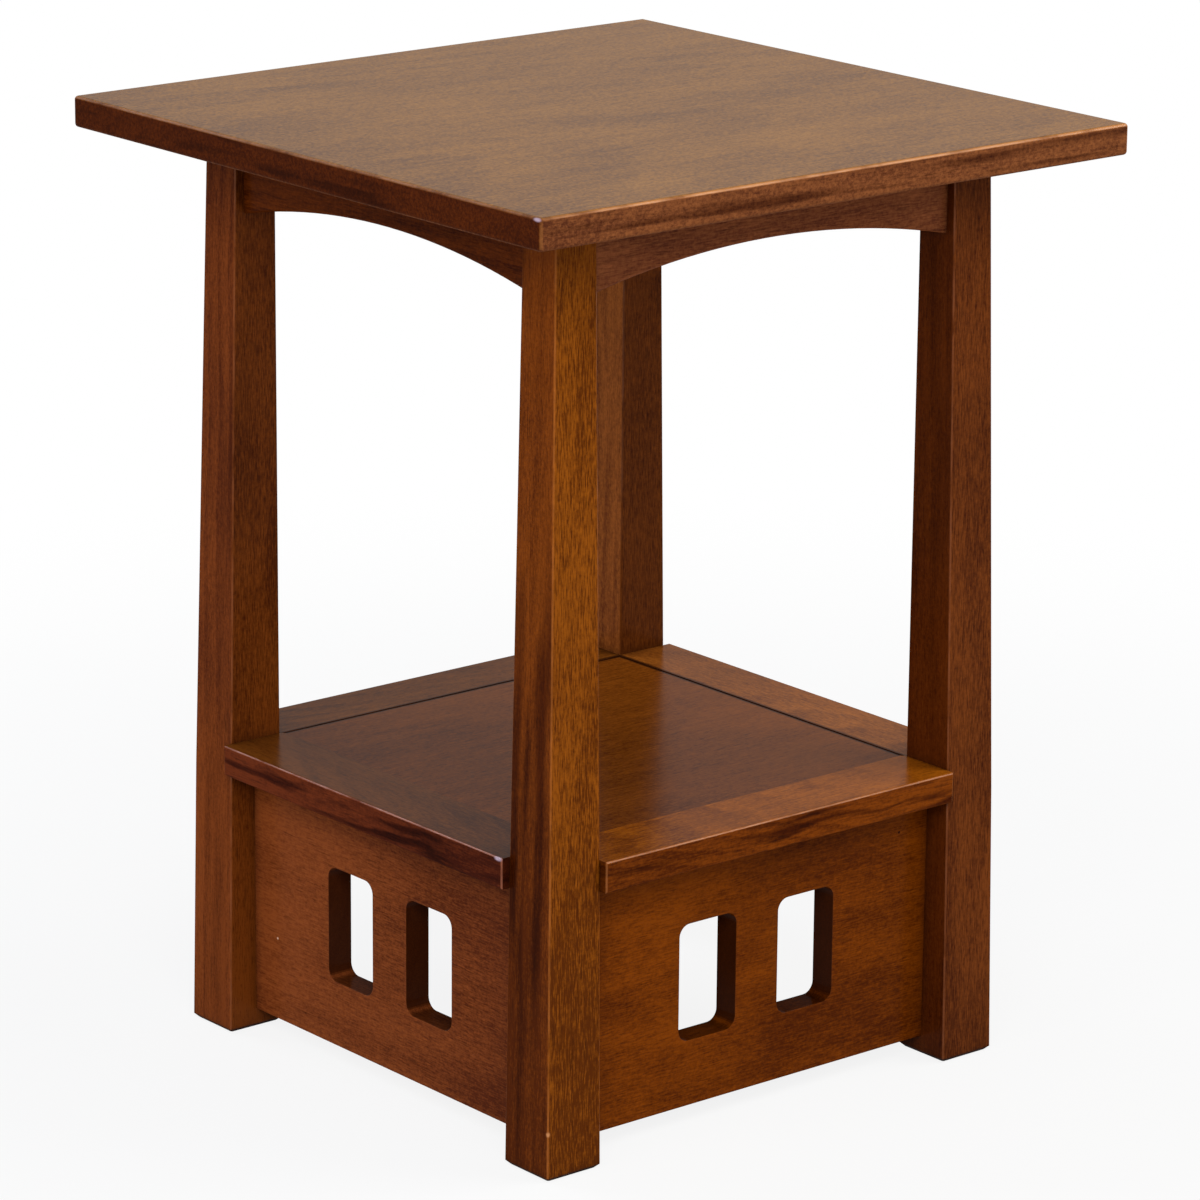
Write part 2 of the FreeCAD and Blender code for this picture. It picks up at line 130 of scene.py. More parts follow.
def set_room():
    """White walls to the eye, and a cool even fill for everything that they light."""
    world = bpy.data.worlds.new("room")
    bpy.context.scene.world = world
    world.use_nodes = True
    tree = world.node_tree
    tree.nodes.clear()
    fill = add_node(tree, "Background", None, {"Color": ROOM_FILL, "Strength": ROOM_FILL_STRENGTH})
    white = add_node(tree, "Background", None, {"Color": ROOM_WHITE, "Strength": 1.0})
    mix = add_node(tree, "MixShader", None,
                   {0: seen_directly(tree), 1: fill.outputs[0], 2: white.outputs[0]})
    add_node(tree, "OutputWorld", None, {"Surface": mix.outputs[0]})


def floor_paint():
    """Matt paint that takes the shadow, and turns to plain white away from the table."""
    paint = bpy.data.materials.new("floor_paint")
    paint.use_nodes = True
    tree = paint.node_tree
    tree.nodes.clear()
    place = add_node(tree, "TexCoord")
    away = add_node(tree, "VectorMath", {"operation": "LENGTH"}, {0: place.outputs["Object"]})
    glow = add_node(tree, "MapRange", {"interpolation_type": "SMOOTHSTEP"},
                    {"Value": away.outputs["Value"], "From Min": FLOOR_GLOW_FROM,
                     "From Max": FLOOR_GLOW_FULL, "To Min": FLOOR_GLOW_NEAR, "To Max": 1.0})
    share = calculate(tree, "MULTIPLY", glow.outputs[0], seen_directly(tree))
    matt = add_node(tree, "BsdfDiffuse", None, {"Color": FLOOR_COLOUR})
    white = add_node(tree, "Emission", None, {"Color": ROOM_WHITE, "Strength": 1.0})
    mix = add_node(tree, "MixShader", None, {0: share, 1: matt.outputs[0], 2: white.outputs[0]})
    add_node(tree, "OutputMaterial", None, {"Surface": mix.outputs[0]})
    return paint


def add_floor():
    """One wide flat sheet under the table."""
    half = FLOOR_WIDE / 2
    sheet = bpy.data.meshes.new("floor")
    sheet.from_pydata([(-half, -half, 0), (half, -half, 0), (half, half, 0), (-half, half, 0)],
                      [], [(0, 1, 2, 3)])
    floor = bpy.data.objects.new("floor", sheet)
    bpy.context.scene.collection.objects.link(floor)
    floor.data.materials.append(floor_paint())


set_camera()
set_room()
add_floor()
for name, lamp in LAMPS.items():
    add_soft_light(name, **lamp)
bpy.context.scene.view_settings.view_transform = "Standard"

# --------------------------------------------------------------------------
# Table top: one glued-up board of hardwood with eased edges, grain from side to side,
# stained brown under a satin lacquer.  Screws hold it from below.  Its arrises are lightly
# rubbed and carry a painted highlight, and its near corner a painted glint.  Its top is
# painted more golden and its left edge darker, as painted reflection and shade.

# Turns that bring each board's grain to X.
ALONG_X = (0.0, 0.0, 0.0)
ALONG_Y = (0.0, 0.0, math.radians(-90))
UPRIGHT = (0.0, math.radians(90), 0.0)

NO_TINT = (1.0, 1.0, 1.0, 1.0)
STREAK_TINT = (0.30, 0.22, 0.20, 1.0)
GREEN_SWING = 1.15


def stain(red, green, blue):
    """A colour as it is named on a chart, from 0 to 255, as light."""
    chart = [value / 255 for value in (red, green, blue)]
    return (*[c / 12.92 if c <= 0.04045 else ((c + 0.055) / 1.055) ** 2.4 for c in chart], 1.0)


def thinned(colour, much):
    """The stain where it lies thinner, or thicker for less than nothing, and turns redder."""
    red, green, blue, cover = colour
    return (red * (1 + much), green * (1 + GREEN_SWING * much), blue * (1 + much), cover)


def start_group(name, inputs, outputs):
    """Start a shader group with named inputs and outputs."""
    group = bpy.data.node_groups.new(name, "ShaderNodeTree")
    for label, kind, value in inputs:
        socket = group.interface.new_socket(label, in_out="INPUT", socket_type="NodeSocket" + kind)
        if value is not None:
            socket.default_value = value
    for label, kind in outputs:
        group.interface.new_socket(label, in_out="OUTPUT", socket_type="NodeSocket" + kind)
    given = group.nodes.new("NodeGroupInput").outputs
    result = group.nodes.new("NodeGroupOutput").inputs
    return group, given, result


def rise(tree, value, low, high):
    """A smooth rise from 0 at low to 1 at high."""
    node = add_node(tree, "MapRange", {"interpolation_type": "SMOOTHSTEP"},
                    {"Value": value, "From Min": low, "From Max": high})
    return node.outputs["Result"]


def wood_noise(tree, place, lumps, detail=2.0, roughness=0.5):
    """Noise about 0 with so many lumps to the metre along, across and into the board."""
    scaled = add_node(tree, "VectorMath", {"operation": "MULTIPLY"}, {0: place, 1: lumps})
    noise = add_node(tree, "TexNoise", {"noise_dimensions": "3D"},
                     {"Vector": scaled.outputs[0], "Scale": 1.0, "Detail": detail,
                      "Roughness": roughness})
    return calculate(tree, "MULTIPLY_ADD", noise.outputs["Fac"], 4.0, -2.0)


def blend(tree, share, first, second):
    """Two colours mixed by a share."""
    node = add_node(tree, "Mix", {"data_type": "RGBA"}, {0: share, 6: first, 7: second})
    return node.outputs[2]


def tinted(tree, share, colour, tint):
    """A colour multiplied by a tint, by a share."""
    node = add_node(tree, "Mix", {"data_type": "RGBA", "blend_type": "MULTIPLY"},
                    {0: share, 6: colour, 7: tint})
    return node.outputs[2]


# Lumps to the metre of what bends and breaks up the figure.
RING_BENDS = (2.4, 11.0, 11.0)
PITH_SWAYS = (5.5, 2.0, 2.0)
RING_PATCHES = (5.0, 30.0, 30.0)
STREAK_SWINGS = (13.0, 5.0, 5.0)

# Shares of a year ring over which it darkens and then stops, and heights of the noise at
# which the rings start to show and show in full, and the same for the streaks.
RING_DARKENS = (0.2, 0.85)
RING_STOPS = (0.88, 1.0)
RINGS_SHOW = (-0.7, 0.7)
STREAKS_SHOW = (0.0, 0.8)


def build_board_figure():
    """The figure of a sawn board, from its year rings.

    The rings are tubes round a pith line that leans and wanders: their place is the distance
    from that line over the ring width, and each darkens slowly and then stops short.  The
    streaks are long thin crests of a noise that runs on into the board, and they swing in and
    out of it by Streak Bend.
    """
    tree, given, result = start_group("board_figure", [
        ("Place", "Vector", None), ("Pith Across", "Float", 0.0), ("Pith Below", "Float", 0.05),
        ("Lean", "Float", 0.0), ("Ring Width", "Float", 0.006), ("Wander", "Float", 0.01),
        ("Streak Lumps", "Vector", (6.0, 90.0, 12.0)), ("Streak Bend", "Float", 0.0),
    ], [("Rings", "Float"), ("Streaks", "Float")])
    place = given["Place"]
    along, across, below = add_node(tree, "SeparateXYZ", None, {0: place}).outputs
    bend = wood_noise(tree, place, RING_BENDS, 3.0)
    sway = wood_noise(tree, place, PITH_SWAYS, 1.0)
    shift = calculate(tree, "MULTIPLY", bend, given["Wander"])
    across = calculate(tree, "SUBTRACT", across, given["Pith Across"])
    across = calculate(tree, "MULTIPLY_ADD", sway, given["Wander"], across)
    below = calculate(tree, "SUBTRACT", below, given["Pith Below"])
    below = calculate(tree, "MULTIPLY_ADD", along, given["Lean"], below)
    square = calculate(tree, "MULTIPLY", below, below)
    square = calculate(tree, "MULTIPLY_ADD", across, across, square)
    radius = calculate(tree, "ADD", calculate(tree, "SQRT", square), shift)
    ring = calculate(tree, "FRACT", calculate(tree, "DIVIDE", radius, given["Ring Width"]))
    rings = calculate(tree, "MULTIPLY", rise(tree, ring, *RING_DARKENS),
                      calculate(tree, "SUBTRACT", 1.0, rise(tree, ring, *RING_STOPS)))
    patch = rise(tree, wood_noise(tree, place, RING_PATCHES, 1.0), *RINGS_SHOW)
    tree.links.new(calculate(tree, "MULTIPLY", rings, patch), result["Rings"])

    swing = calculate(tree, "MULTIPLY", wood_noise(tree, place, STREAK_SWINGS, 1.0),
                      given["Streak Bend"])
    inward = add_node(tree, "CombineXYZ", None, {"Z": swing}).outputs[0]
    swung = add_node(tree, "VectorMath", {"operation": "ADD"}, {0: place, 1: inward})
    waves = wood_noise(tree, swung.outputs[0], given["Streak Lumps"], 2.0, 0.55)
    tree.links.new(rise(tree, waves, *STREAKS_SHOW), result["Streaks"])
    return tree


# Lumps to the metre of the grain and the stain.
FIBRES = (12.0, 300.0, 300.0)
DASHES = (120.0, 1300.0, 1300.0)
CLOUDS = (7.5, 18.0, 18.0)
SPECKLES = (420.0, 520.0, 520.0)
PORES = (60.0, 700.0, 700.0)

# Where along its log a board starts to turn to the tone of its foot, and where it has.
FOOT_TURNS = (0.28, 0.1)

# How high the noise stands where a pore opens, and how squarely a face cuts the grain
# where it starts to darken as end grain.
PORE_OPENS = (0.5, 0.9)
END_FACES = (0.6, 0.9)
CLOUD_ROUGHNESS = 0.03
PORE_ROUGHNESS = 0.18
DASH_RELIEF = 0.3


def build_stained_grain():
    """Stained hardwood under lacquer.

    The tone runs from pale to dark with the figure, the fibres, short fine dashes, the soft
    clouds of the stain and a fine speckle.  It drifts along the board, and changes towards
    its foot.  The streaks darken the faces above and below the board's middle by one share,
    and the faces beside it by another, and Dashes Above is the dashes' strength above and
    below to that beside.  Open pores and the ends of boards are deeper, and so is what comes
    in as Painted Shade And Joints: painted shade in nooks and at the floor, and dark joints.

    Faces that look up or left are multiplied by a tint of each piece's own.  The tints were
    chosen to look right from the front left in this room.  They stand in for light and
    reflections that its lamps don't give, so in other light, or from another side, such a
    face may look too pale or too dark beside the rest of its piece.
    """
    tree, given, result = start_group("stained_grain", [
        ("Place", "Vector", None), ("Facing", "Vector", None), ("Upward", "Float", 0.0),
        ("Leftward", "Float", 0.0), ("Painted Shade And Joints", "Float", 0.0), ("Rings", "Float", 0.0),
        ("Streaks", "Float", 0.0), ("Pale", "Color", None), ("Dark", "Color", None),
        ("Deep", "Color", None), ("Up Tint", "Color", NO_TINT), ("Left Tint", "Color", NO_TINT),
        ("Tone", "Float", 0.45), ("Drift", "Float", 0.0), ("Foot Tone", "Float", 0.0),
        ("Ring Depth", "Float", 0.3), ("Streaks Above", "Float", 0.15),
        ("Streaks Beside", "Float", 0.2), ("Fibre", "Float", 0.14), ("Dashes", "Float", 0.3),
        ("Dashes Above", "Float", 1.0), ("Pores", "Float", 0.3), ("Clouds", "Float", 0.25),
        ("Speckle", "Float", 0.28), ("End Grain", "Float", 0.7), ("Gloss", "Float", 0.4),
    ], [("Colour", "Color"), ("Roughness", "Float"), ("Relief", "Float")])
    place = given["Place"]
    along = add_node(tree, "SeparateXYZ", None, {0: place}).outputs[0]
    facing = add_node(tree, "SeparateXYZ", None, {0: given["Facing"]}).outputs
    endward = calculate(tree, "ABSOLUTE", facing[0])
    flatward = calculate(tree, "ABSOLUTE", facing[2])

    fibre = wood_noise(tree, place, FIBRES, 3.0, 0.6)
    dashes = wood_noise(tree, place, DASHES, 1.0)
    cloud = wood_noise(tree, place, CLOUDS, 5.0, 0.6)
    speckle = wood_noise(tree, place, SPECKLES, 2.0, 0.7)
    foot = rise(tree, along, *FOOT_TURNS)
    fewer = calculate(tree, "MULTIPLY_ADD", flatward,
                      calculate(tree, "SUBTRACT", given["Dashes Above"], 1.0), 1.0)
    strength = calculate(tree, "MULTIPLY", given["Dashes"], fewer)
    tone = calculate(tree, "MULTIPLY_ADD", along, given["Drift"], given["Tone"])
    tone = calculate(tree, "MULTIPLY_ADD", foot, given["Foot Tone"], tone)
    tone = calculate(tree, "MULTIPLY_ADD", given["Rings"], given["Ring Depth"], tone)
    tone = calculate(tree, "MULTIPLY_ADD", fibre, given["Fibre"], tone)
    tone = calculate(tree, "MULTIPLY_ADD", dashes, strength, tone)
    tone = calculate(tree, "MULTIPLY_ADD", cloud, given["Clouds"], tone)
    tone = calculate(tree, "MULTIPLY_ADD", speckle, given["Speckle"], tone, clamp=True)
    colour = blend(tree, tone, given["Pale"], given["Dark"])

    apart = calculate(tree, "SUBTRACT", given["Streaks Above"], given["Streaks Beside"])
    depth = calculate(tree, "MULTIPLY_ADD", flatward, apart, given["Streaks Beside"])
    colour = tinted(tree, calculate(tree, "MULTIPLY", given["Streaks"], depth), colour, STREAK_TINT)
    # Painted light and shade: faces that look up or left are multiplied by their piece's tints.
    colour = tinted(tree, given["Upward"], colour, given["Up Tint"])
    colour = tinted(tree, given["Leftward"], colour, given["Left Tint"])

    holes = rise(tree, wood_noise(tree, place, PORES, 1.0), *PORE_OPENS)
    pores = calculate(tree, "MULTIPLY", holes, given["Pores"])
    end = calculate(tree, "MULTIPLY", rise(tree, endward, *END_FACES), given["End Grain"])
    # Painted shade: the nooks' shade and the floor line come in with the dark joints by Painted
    # Shade And Joints, and turn towards the deep colour.
    deep = calculate(tree, "MAXIMUM", calculate(tree, "MAXIMUM", pores, end), given["Painted Shade And Joints"])
    colour = blend(tree, deep, colour, given["Deep"])

    rough = calculate(tree, "MULTIPLY_ADD", cloud, CLOUD_ROUGHNESS, given["Gloss"])
    rough = calculate(tree, "MULTIPLY_ADD", pores, PORE_ROUGHNESS, rough, clamp=True)
    relief = calculate(tree, "MULTIPLY", dashes, DASH_RELIEF)
    relief = calculate(tree, "MULTIPLY_ADD", holes, -1.0, relief)
    tree.links.new(colour, result["Colour"])
    tree.links.new(rough, result["Roughness"])
    tree.links.new(relief, result["Relief"])
    return tree


ARRIS_PATCHES = (45.0, 45.0, 45.0)
SHARP_EDGE_WEAR_AND_HIGHLIGHT = 0.4

# Where the wear and painted highlight start and where they are full, by each measure in
# turn: the bend of a sharp edge, the tilt of an eased one, how far it looks up, how far it
# looks left, and the noise.
SHARP_BEND = (0.03, 0.2)
EASED_TILT = (0.02, 0.12)
NOT_FROM_BELOW = (-0.4, -0.1)
LOOKS_LEFT = (-0.2, -0.5)
ARRIS_PATCH_SHOWS = (-1.5, 0.6)


def build_worn_arris():
    """How far a place lies on an arris that is rubbed here and there and carries a painted
    highlight, but not from below.

    On a sharp edge the rounded normal leaves the flat one, and one less their dot product
    grows from nothing to about a third.  On an eased edge the flat normal lies between the
    main directions, and one less its largest part grows in the same way.  Arrises that
    look left have a share of the wear and painted highlight of their own.  The mask is
    partly wear and partly a painted highlight.
    """
    tree, given, result = start_group("arris_wear_and_highlight", [
        ("Rounded", "Vector", None), ("Flat", "Vector", None), ("Place", "Vector", None),
        ("Eased", "Float", 0.0), ("Left Wear And Highlight", "Float", 1.0),
    ], [("Arris", "Float")])
    bend = add_node(tree, "VectorMath", {"operation": "DOT_PRODUCT"},
                    {0: given["Rounded"], 1: given["Flat"]})
    sharp = rise(tree, calculate(tree, "SUBTRACT", 1.0, bend.outputs["Value"]), *SHARP_BEND)
    sharp = calculate(tree, "MULTIPLY", sharp, SHARP_EDGE_WEAR_AND_HIGHLIGHT)
    normal = add_node(tree, "SeparateXYZ", None, {0: given["Flat"]}).outputs
    parts = [calculate(tree, "ABSOLUTE", part) for part in normal]
    most = calculate(tree, "MAXIMUM", calculate(tree, "MAXIMUM", parts[0], parts[1]), parts[2])
    eased = rise(tree, calculate(tree, "SUBTRACT", 1.0, most), *EASED_TILT)
    eased = calculate(tree, "MULTIPLY", eased, given["Eased"])
    edge = calculate(tree, "MAXIMUM", sharp, eased)
    edge = calculate(tree, "MULTIPLY", edge, rise(tree, normal[2], *NOT_FROM_BELOW))
    more = calculate(tree, "SUBTRACT", given["Left Wear And Highlight"], 1.0)
    share = calculate(tree, "MULTIPLY_ADD", rise(tree, normal[0], *LOOKS_LEFT), more, 1.0)
    edge = calculate(tree, "MULTIPLY", edge, share)
    arris_patches = rise(tree, wood_noise(tree, given["Place"], ARRIS_PATCHES, 3.0), *ARRIS_PATCH_SHOWS)
    tree.links.new(calculate(tree, "MULTIPLY", edge, arris_patches), result["Arris"])
    return tree


board_figure = build_board_figure()
stained_grain = build_stained_grain()
arris_wear_and_highlight = build_worn_arris()


def place_group(tree, group, inputs):
    """Put a shader group into a material and set or link its inputs."""
    node = tree.nodes.new("ShaderNodeGroup")
    node.node_tree = group
    for label, value in inputs.items():
        if isinstance(value, bpy.types.NodeSocket):
            tree.links.new(value, node.inputs[label])
        else:
            node.inputs[label].default_value = value
    return node.outputs


# Where a dark line starts and is full, in metres from its plane, and a mark, in shares of
# its half sizes.
LINE_FADES = (0.0036, 0.0014)
LINE_DEPTH = 0.85
MARK_FADES = (1.0, 0.3)


def with_dark_lines(tree, painted_shade_and_joints, spot, lines):
    """The painted shade in nooks, and a dark line at each plane, which is an axis number and a
    place on it.
    """
    for axis, middle in lines:
        reach = add_node(tree, "SeparateXYZ", None, {0: spot}).outputs[axis]
        reach = calculate(tree, "ABSOLUTE", calculate(tree, "SUBTRACT", reach, middle))
        line = calculate(tree, "MULTIPLY", rise(tree, reach, *LINE_FADES), LINE_DEPTH)
        painted_shade_and_joints = calculate(tree, "MAXIMUM", painted_shade_and_joints, line)
    return painted_shade_and_joints


def with_marks(tree, colour, spot, marks):
    """The colour, and small soft spots on it, each a middle, its half sizes and a colour."""
    for middle, half_sizes, mark in marks:
        away = add_node(tree, "VectorMath", {"operation": "SUBTRACT"}, {0: spot, 1: middle})
        away = add_node(tree, "VectorMath", {"operation": "DIVIDE"},
                        {0: away.outputs[0], 1: half_sizes})
        reach = add_node(tree, "VectorMath", {"operation": "LENGTH"}, {0: away.outputs[0]})
        colour = blend(tree, rise(tree, reach.outputs["Value"], *MARK_FADES), colour, mark)
    return colour


NEARLY_BLACK = (0.010, 0.003, 0.001, 1.0)

# How far a face looks up, or left, where its painted light tint starts and is full, and how
# open a nook still is where its painted shade starts and is full.
FACES_UP = (0.7, 0.98)
FACES_LEFT = (-0.7, -0.98)
NOOK_SHADE_CLOSES = (0.85, 0.35)
NOOK_SHADE_REACH = 0.015
NOOK_SHADE_DEPTH = 0.6
ARRIS_RADIUS = 0.0012
WEAR_AND_HIGHLIGHT_DEPTH = 0.6
RUBBED_AND_HIGHLIGHT_PALER = 1.2
RELIEF_STRENGTH = 0.3
RELIEF_METRES = 0.0002
LACQUER_LEAST = 0.05
LACQUER_ON_ARRIS = 0.4
LACQUER_ROUGHNESS = 0.22
SMOOTH_SAMPLES = 4


def stained_board(name, turn, middle, spread=0.5, deep=NEARLY_BLACK, worn=None, sheen=0.16,
                  eased=0.0, left_wear_and_highlight=1.0, cut=(0.0, 0.0, 0.0), dark_lines=(), marks=(),
                  figure=None, **grain_values):
    """A lacquered board whose grain runs along X until it is turned.

    Its stain is the middle colour, with tones paler and darker than that by the spread, the
    deep colour in pores and ends, in dark joints and as painted shade in nooks and at the
    floor, and the worn-and-highlight one on arrises, partly wear and partly a painted
    highlight.  Eased says how much the eased arrises take that wear and painted highlight,
    and cut where in its log the board was sawn.  The lacquer shines most on faces that look
    up, by the sheen, and on arrises.  Figure values go to the figure group by its labels, and
    grain values to the grain group by its labels in lower case, with _ for a space; among
    them are the up and left painted light tints.
    """
    finish = bpy.data.materials.new(name)
    finish.use_nodes = True
    tree = finish.node_tree
    surface = tree.nodes["Principled BSDF"]
    flat = add_node(tree, "NewGeometry").outputs["True Normal"]
    spot = add_node(tree, "TexCoord").outputs["Object"]
    place = add_node(tree, "Mapping", None,
                     {"Vector": spot, "Rotation": turn, "Location": cut}).outputs[0]
    facing = add_node(tree, "Mapping", {"vector_type": "NORMAL"},
                      {"Vector": flat, "Rotation": turn}).outputs[0]
    sides = add_node(tree, "SeparateXYZ", None, {0: flat}).outputs
    upward = rise(tree, sides[2], *FACES_UP)
    leftward = rise(tree, sides[0], *FACES_LEFT)
    # Painted shade: ambient occlusion paints closed nooks darker, towards the deep colour, and the
    # dark lines add dark joints at seams and a painted shadow at the floor.
    open_sky = add_node(tree, "AmbientOcclusion", {"samples": SMOOTH_SAMPLES},
                        {"Distance": NOOK_SHADE_REACH})
    painted_shade_and_joints = rise(tree, open_sky.outputs["AO"], *NOOK_SHADE_CLOSES)
    painted_shade_and_joints = calculate(tree, "MULTIPLY", painted_shade_and_joints, NOOK_SHADE_DEPTH)
    painted_shade_and_joints = with_dark_lines(tree, painted_shade_and_joints, spot, dark_lines)

    rings = place_group(tree, board_figure, {"Place": place, **(figure or {})})
    grain = place_group(tree, stained_grain, {
        "Place": place, "Facing": facing, "Upward": upward, "Leftward": leftward, "Painted Shade And Joints": painted_shade_and_joints,
        "Rings": rings["Rings"], "Streaks": rings["Streaks"],
        "Pale": thinned(middle, spread), "Dark": thinned(middle, -spread), "Deep": deep,
        **{label.replace("_", " ").title(): value for label, value in grain_values.items()}})
    rounded = add_node(tree, "Bevel", {"samples": SMOOTH_SAMPLES},
                       {"Radius": ARRIS_RADIUS}).outputs["Normal"]
    edge = place_group(tree, arris_wear_and_highlight, {
        "Rounded": rounded, "Flat": flat, "Place": place, "Eased": eased,
        "Left Wear And Highlight": left_wear_and_highlight})["Arris"]
    # The arris colour is partly wear and partly a painted highlight; the marks are small blemishes
    # and painted corner glints.
    colour = blend(tree, calculate(tree, "MULTIPLY", edge, WEAR_AND_HIGHLIGHT_DEPTH), grain["Colour"],
                   worn or thinned(middle, RUBBED_AND_HIGHLIGHT_PALER))
    colour = with_marks(tree, colour, spot, marks)
    relief = add_node(tree, "Bump", None, {
        "Strength": RELIEF_STRENGTH, "Distance": RELIEF_METRES, "Height": grain["Relief"],
        "Normal": rounded})
    lacquer = calculate(tree, "MULTIPLY_ADD", upward, sheen, LACQUER_LEAST)
    lacquer = calculate(tree, "MAXIMUM", lacquer,
                        calculate(tree, "MULTIPLY", edge, LACQUER_ON_ARRIS))
    tree.links.new(colour, surface.inputs["Base Color"])
    tree.links.new(grain["Roughness"], surface.inputs["Roughness"])
    tree.links.new(relief.outputs["Normal"], surface.inputs["Normal"])
    tree.links.new(lacquer, surface.inputs["Coat Weight"])
    surface.inputs["Coat Roughness"].default_value = LACQUER_ROUGHNESS
    surface.inputs["Specular IOR Level"].default_value = 0.0
    return finish


def give_finish(node, finish):
    """Put one finish on the whole of a piece."""
    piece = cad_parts[node]
    for number in range(len(piece.material_slots)):
        piece.material_slots[number].material = finish


# Painted highlight: where, how large and what colour the glint painted at a board's front left
# corner is.
GLINT_BACK = 0.0035
GLINT_DOWN = 0.001
GLINT_HALF_SIZES = (0.0019, 0.0048, 0.0019)
PAINTED_GLINT = stain(170, 148, 164)


def painted_corner_glint(node):
    """A painted highlight: a pale lavender glint along the left arris, at a board's front left
    corner.
    """
    (left, front, _), (_, _, top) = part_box(node)
    return [((left, front + GLINT_BACK, top - GLINT_DOWN), GLINT_HALF_SIZES, PAINTED_GLINT)]


# Painted light and shade: its tints paint the top more golden and its left edge darker, its arris
# colour is partly wear and partly a painted highlight, and its near corner carries a painted glint.
give_finish("table_top", stained_board(
    "table_top_finish", ALONG_X, stain(111, 63, 34), cut=(0.42, 0.0, 0.17), sheen=0.28,
    worn=stain(190, 122, 56), eased=1.35, left_wear_and_highlight=0.35, deep=stain(52, 22, 5), end_grain=0.25,
    up_tint=(1.25, 1.58, 0.61, 1.0), left_tint=(0.5, 0.29, 0.13, 1.0), clouds=0.18,
    foot_tone=0.4, ring_depth=0.16, streaks_above=0.05, streaks_beside=0.85,
    fibre=0.15, dashes=0.15, speckle=0.5, pores=0.3, marks=painted_corner_glint("table_top"),
    figure={"Pith Across": -0.10, "Pith Below": 0.35, "Lean": 0.12, "Ring Width": 0.014,
            "Wander": 0.008, "Streak Lumps": (5.0, 9.0, 110.0)}))

# --------------------------------------------------------------------------
# Aprons: four boards of the same hardwood under the top, grain from leg to leg, each
# sawn to a shallow arch below.  Their mitred tenons are glued into the legs.

APRON_LOG_STEP = 0.37
APRON_OFF_PITH = 0.1
FAR_APRON_STAIN = stain(104, 50, 24)
APRONS = {
    "front": dict(middle=stain(120, 66, 37), drift=1.0),
    "back": dict(middle=FAR_APRON_STAIN),
    "left": dict(middle=stain(86, 36, 6)),
    "right": dict(middle=FAR_APRON_STAIN),
}
TURNS = {"front": ALONG_X, "back": ALONG_X, "left": ALONG_Y, "right": ALONG_Y}

for number, (side, turn) in enumerate(TURNS.items()):
    give_finish("apron_" + side, stained_board(
        "apron_%s_finish" % side, turn, cut=(APRON_LOG_STEP * number, APRON_OFF_PITH, 0.0),
        **APRONS[side],
        figure={"Pith Across": 0.2, "Pith Below": 0.5, "Lean": 0.05, "Ring Width": 0.01,
                "Wander": 0.008}))

# --------------------------------------------------------------------------
# Legs: four posts with upright grain, tapered on their two outer faces and morticed for
# the aprons, panels and rails.  The near one is more golden than the others and has a
# small knock in its arris, and each is painted dark in a line at the floor, a painted
# shadow where it stands.  Their faces that look left are painted darker on the front legs
# and lighter on the back ones, as painted shade and light.

# Painted shadow: this line paints each leg dark where it stands on the floor.
FLOOR_SHADE_LINE = (2, 0.0)
LEG_LOG_FIRST = 0.4
LEG_LOG_STEP = 0.3
LEG_LOG_RISE = 0.1
LEG_DASHES = 0.5
LEG_STREAKS_ABOVE = 0.35
KNOCK = ((-0.1845, -0.1845, 0.031), (0.0022,) * 3, stain(190, 128, 80))
# Painted light and shade: each leg's left tint paints its left-looking faces, darker on the front
# legs and lighter on the back ones, the back right's three to four times as light.
LEGS = {
    "front_left": dict(middle=stain(115, 59, 9), left_tint=(0.86, 0.74, 1.15, 1.0), foot_tone=0.45,
                       streaks_above=0.9, tone=0.4, dashes=0.62, marks=(KNOCK,)),
    "front_right": dict(middle=stain(90, 43, 14), left_tint=(0.7, 0.58, 0.4, 1.0), foot_tone=-0.05),
    "back_left": dict(middle=stain(93, 44, 12), left_tint=(1.27, 1.2, 1.6, 1.0), foot_tone=-0.42,
                      tone=0.5),
    "back_right": dict(middle=stain(82, 39, 10), left_tint=(3.0, 3.5, 4.4, 1.0)),
}

for number, (corner, look) in enumerate(LEGS.items()):
    give_finish("leg_" + corner, stained_board(
        "leg_%s_finish" % corner, UPRIGHT, eased=0.85, dark_lines=(FLOOR_SHADE_LINE,),
        cut=(0.0, LEG_LOG_FIRST + LEG_LOG_STEP * number, LEG_LOG_RISE * number),
        clouds=0.3, dashes_above=0.45,
        **{"dashes": LEG_DASHES, "streaks_above": LEG_STREAKS_ABOVE, **look},
        figure={"Pith Across": 0.05, "Pith Below": 0.12, "Lean": 0.03, "Ring Width": 0.012,
                "Wander": 0.006, "Streak Lumps": (4.0, 55.0, 14.0)}))

# --------------------------------------------------------------------------
# Shelf: a field board tongued into four border strips that run from leg to leg, all of
# hardwood, and laid on the cleats.  The seam stands a little open on two sides, where
# dark glaze has gathered.

SEAM_HALF = 0.0011
right_seam = (0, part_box("shelf_border_right")[0][0] - SEAM_HALF)
back_seam = (1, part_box("shelf_border_back")[0][1] - SEAM_HALF)

FIELD_STAIN = stain(96, 48, 9)
give_finish("shelf_panel", stained_board(
    "shelf_panel_finish", ALONG_X, FIELD_STAIN, worn=FIELD_STAIN, sheen=0.15,
    dark_lines=(right_seam, back_seam), ring_depth=0.1, streaks_above=0.05, drift=-1.5,
    figure={"Pith Across": -0.3, "Pith Below": -0.2, "Lean": 0.1, "Ring Width": 0.014,
            "Wander": 0.008}))

BORDER_LOG_FIRST = 1.8
BORDER_LOG_STEP = 0.43
BORDER_TONE = 0.4
FAR_BORDER = dict(middle=stain(96, 44, 14), worn=stain(140, 78, 38))
